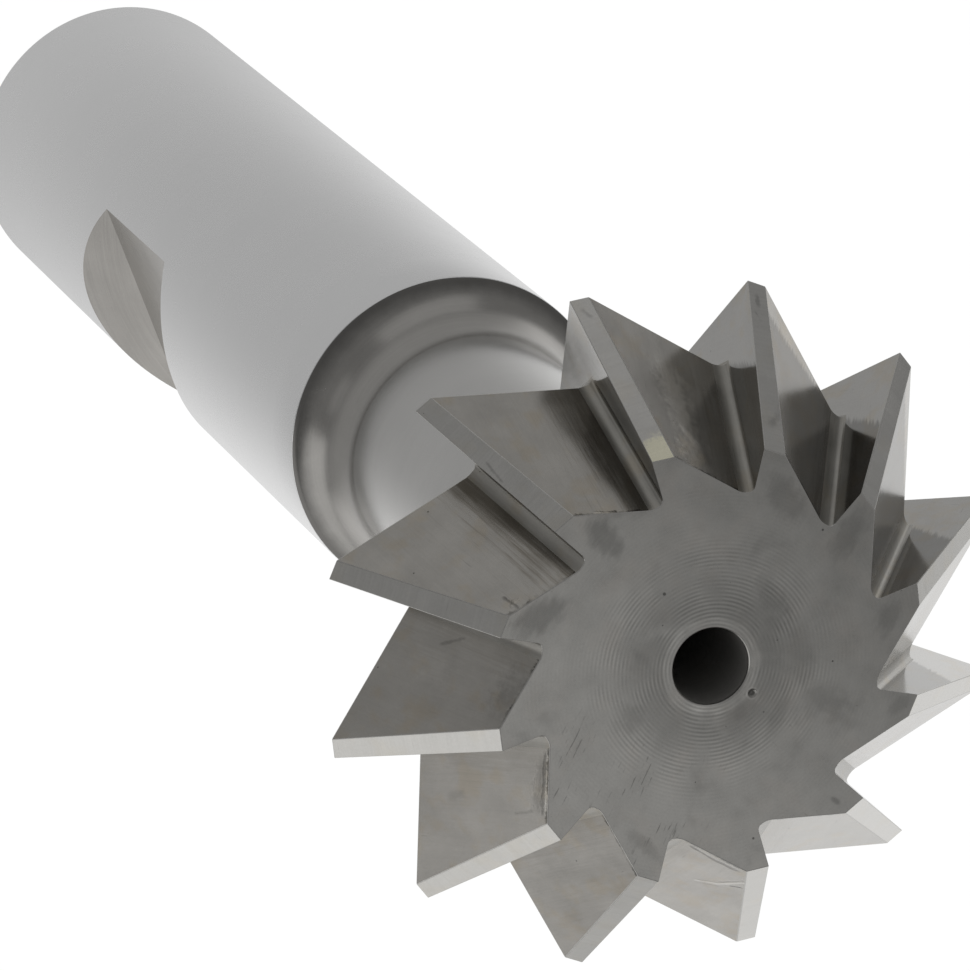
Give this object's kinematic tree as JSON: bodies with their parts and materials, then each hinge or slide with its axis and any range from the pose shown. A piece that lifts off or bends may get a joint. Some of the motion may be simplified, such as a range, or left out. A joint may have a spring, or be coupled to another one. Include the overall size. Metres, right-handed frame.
{
  "type": "double angle milling cutter",
  "caption": "Double angle milling cutter: a ring of straight teeth meeting in a right-angled edge, on a necked cylindrical shank with a clamping flat.",
  "frame": {"origin": "centre of the shank's end face", "axes": "+Z along the axis from the shank to the toothed head; +X lies in the rake face of one tooth"},
  "size_m": [0.0508, 0.0508, 0.1492],
  "materials": {
    "steel": "ground shank, milled gullets and turned end face, all bare"
  },
  "bodies": {
    "root": {"cutter": "steel"}
  },
  "joints": []
}
